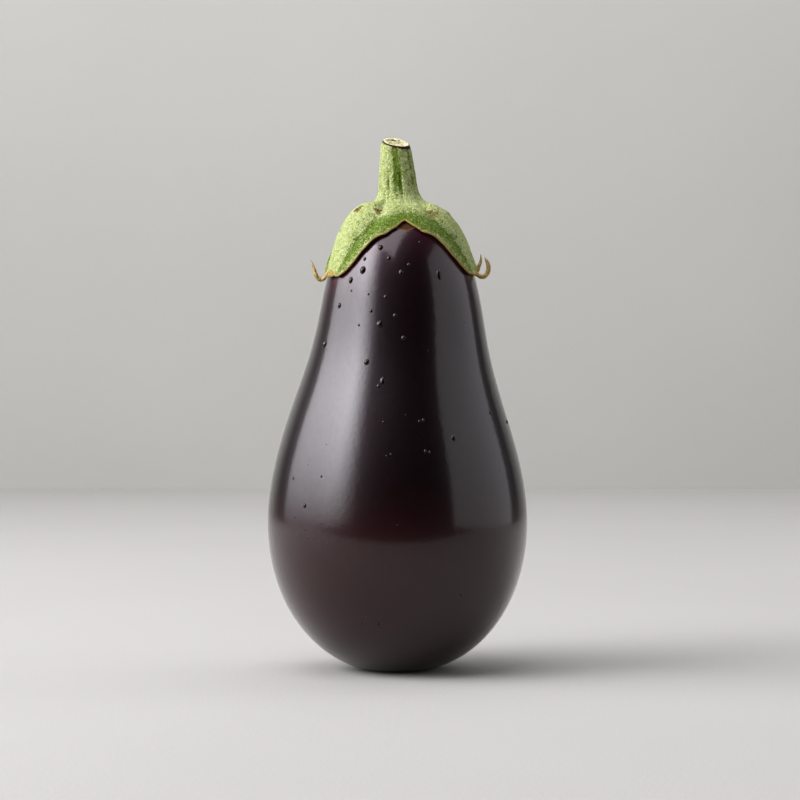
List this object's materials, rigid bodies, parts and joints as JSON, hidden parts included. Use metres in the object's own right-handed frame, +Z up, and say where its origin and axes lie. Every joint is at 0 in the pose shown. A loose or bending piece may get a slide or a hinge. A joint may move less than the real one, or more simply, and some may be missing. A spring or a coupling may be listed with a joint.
{
  "type": "eggplant",
  "caption": "Pear-shaped glossy purple-black eggplant that stands upright on a small flat spot, with a lobed green calyx with dried curled tips and a short ribbed cut stem.",
  "frame": {"origin": "centre of the small flat spot at the blossom end, on which the eggplant stands", "axes": "+Z up along the fruit towards the stem, -Y towards the front, where the calyx has its wide notch, +X to the right as seen from the front"},
  "size_m": [0.0948, 0.0948, 0.1946],
  "materials": {
    "skin": "waxy, glossy purple-black skin; gloss_plastic stands in for a natural waxed skin",
    "calyx": "matt, finely downy green sepals with pale edges and dry brown tips; matte_plastic stands in for leaf tissue",
    "stem": "matt, downy green stalk with a cream cut end; wood stands in for the fibrous stalk"
  },
  "bodies": {
    "root": {"fruit": "skin", "calyx": "calyx", "stem": "stem"}
  },
  "joints": []
}
